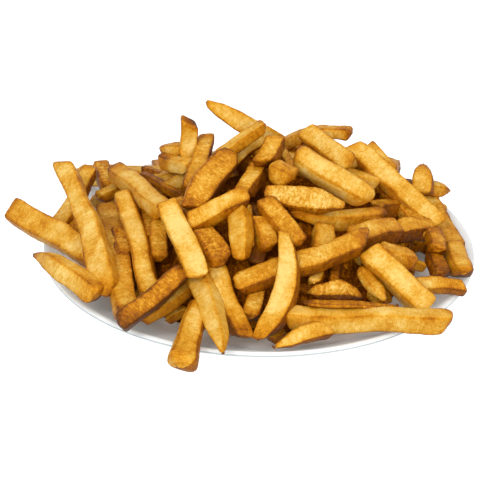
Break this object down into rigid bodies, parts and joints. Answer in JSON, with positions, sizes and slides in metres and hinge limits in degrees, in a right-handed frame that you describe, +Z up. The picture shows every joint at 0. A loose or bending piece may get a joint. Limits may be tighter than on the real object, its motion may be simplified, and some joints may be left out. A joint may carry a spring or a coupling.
{
  "type": "french fries portion on a plate",
  "caption": "Loose heap of thick skin-on french fries on a round shallow white plate; browned uneven pieces, some hanging over the rim.",
  "frame": {"origin": "middle of the plate's flat base", "axes": "+Z up, -Y towards the eater, +X to the eater's right"},
  "size_m": [0.2824, 0.2794, 0.1009],
  "materials": {
    "plate_glaze": "smooth glossy white glaze",
    "fried_potato": null
  },
  "bodies": {
    "root": {"plate": "plate_glaze", "fries_heap": "fried_potato"}
  },
  "joints": []
}
